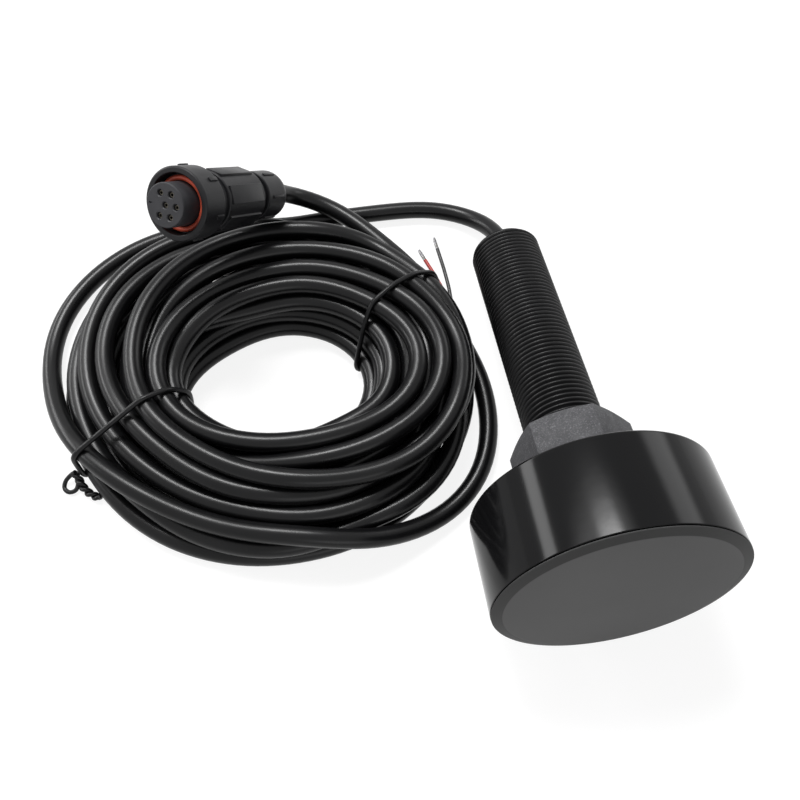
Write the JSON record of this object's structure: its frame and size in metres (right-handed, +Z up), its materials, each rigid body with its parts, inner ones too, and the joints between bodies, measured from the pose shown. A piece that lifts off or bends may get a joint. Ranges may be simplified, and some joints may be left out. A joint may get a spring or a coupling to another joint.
{
  "type": "fish finder transducer",
  "caption": "Round potted sonar transducer on a threaded stem with a hull nut, lying beside its coiled cable with a screw collar connector.",
  "frame": {"origin": "on the surface it lies on, under the middle of the transducer without its cable", "axes": "+Z up, +Y along the plan of the stem from the acoustic face towards the stem's end, which dips towards the surface; +X to the right of the stem, away from the coil"},
  "size_m": [0.2186, 0.192, 0.0793],
  "materials": {
    "gloss_black_plastic": "smooth gloss black moulding",
    "grey_window": "flat satin grey",
    "satin_black_plastic": "satin black with a fine thread",
    "grey_nylon": "grainy glass filled nylon",
    "matt_black_plastic": "matt black moulding",
    "black_rubber": "matt",
    "orange_rubber": "orange red silicone",
    "black_cable_jacket": "semi-gloss black cable jacket",
    "black_resin": "poured resin",
    "ceramic": "fired ceramic",
    "cork": "pressed cork",
    "plated_brass": "plated",
    "tinned_copper": "tinned strands",
    "core_insulation": "thin wire insulation",
    "red_insulation": "thin wire insulation",
    "black_insulation": "thin wire insulation",
    "black_tie": "coated tie wire"
  },
  "bodies": {
    "transducer": {"housing": "gloss_black_plastic", "acoustic_window": "grey_window", "piezo_disc": "ceramic", "cork_backing": "cork", "cork_sleeve": "cork", "potting_resin": "black_resin", "signal_lead": "core_insulation", "return_lead": "core_insulation", "stem_cable_run": "black_cable_jacket", "threaded_stem": "satin_black_plastic", "stem_seal": "black_rubber", "connector_insert": "matt_black_plastic", "seal_ring": "orange_rubber", "connector_body": "matt_black_plastic", "gland_seal": "black_rubber", "gland_nut": "matt_black_plastic", "connector_cable_run": "black_cable_jacket", "socket_contact_1": "plated_brass", "socket_contact_2": "plated_brass", "socket_contact_3": "plated_brass", "socket_contact_4": "plated_brass", "socket_contact_5": "plated_brass", "socket_contact_6": "plated_brass", "cable_core_1": "core_insulation", "cable_core_2": "core_insulation", "cable_core_3": "core_insulation", "cable_core_4": "core_insulation", "cable_core_5": "core_insulation", "cable_core_6": "core_insulation", "stem_lead": "black_cable_jacket", "cable_coil": "black_cable_jacket", "loose_turn": "black_cable_jacket", "connector_lead": "black_cable_jacket", "red_wire": "red_insulation", "black_wire": "black_insulation", "red_wire_tip": "tinned_copper", "black_wire_tip": "tinned_copper", "coil_tie_left": "black_tie", "coil_tie_right": "black_tie"},
    "washer": {"sealing_washer": "black_rubber"},
    "nut": {"hull_nut": "grey_nylon"},
    "coupling": {"coupling_ring": "matt_black_plastic"}
  },
  "joints": [
    {"name": "washer_slide", "type": "slide", "parent": "transducer", "child": "washer", "axis": [0, 0.9779, -0.2088], "range_m": [-0.0069, 0.088]},
    {"name": "nut_turn", "type": "hinge", "parent": "washer", "child": "nut", "pos_m": [0, -0.02163, 0.03294], "axis": [0, 0.9779, -0.2088], "range_deg": [-1369.3, 17464.2]},
    {"name": "collar_turn", "type": "hinge", "parent": "transducer", "child": "coupling", "pos_m": [-0.11253, 0.07447, 0.06132], "axis": [-0.4741, -0.5722, 0.6692], "continuous": true}
  ],
  "couplings": [
    {"joint": "washer_slide", "follows": "nut_turn", "m_per_rad": 0.00028871}
  ]
}
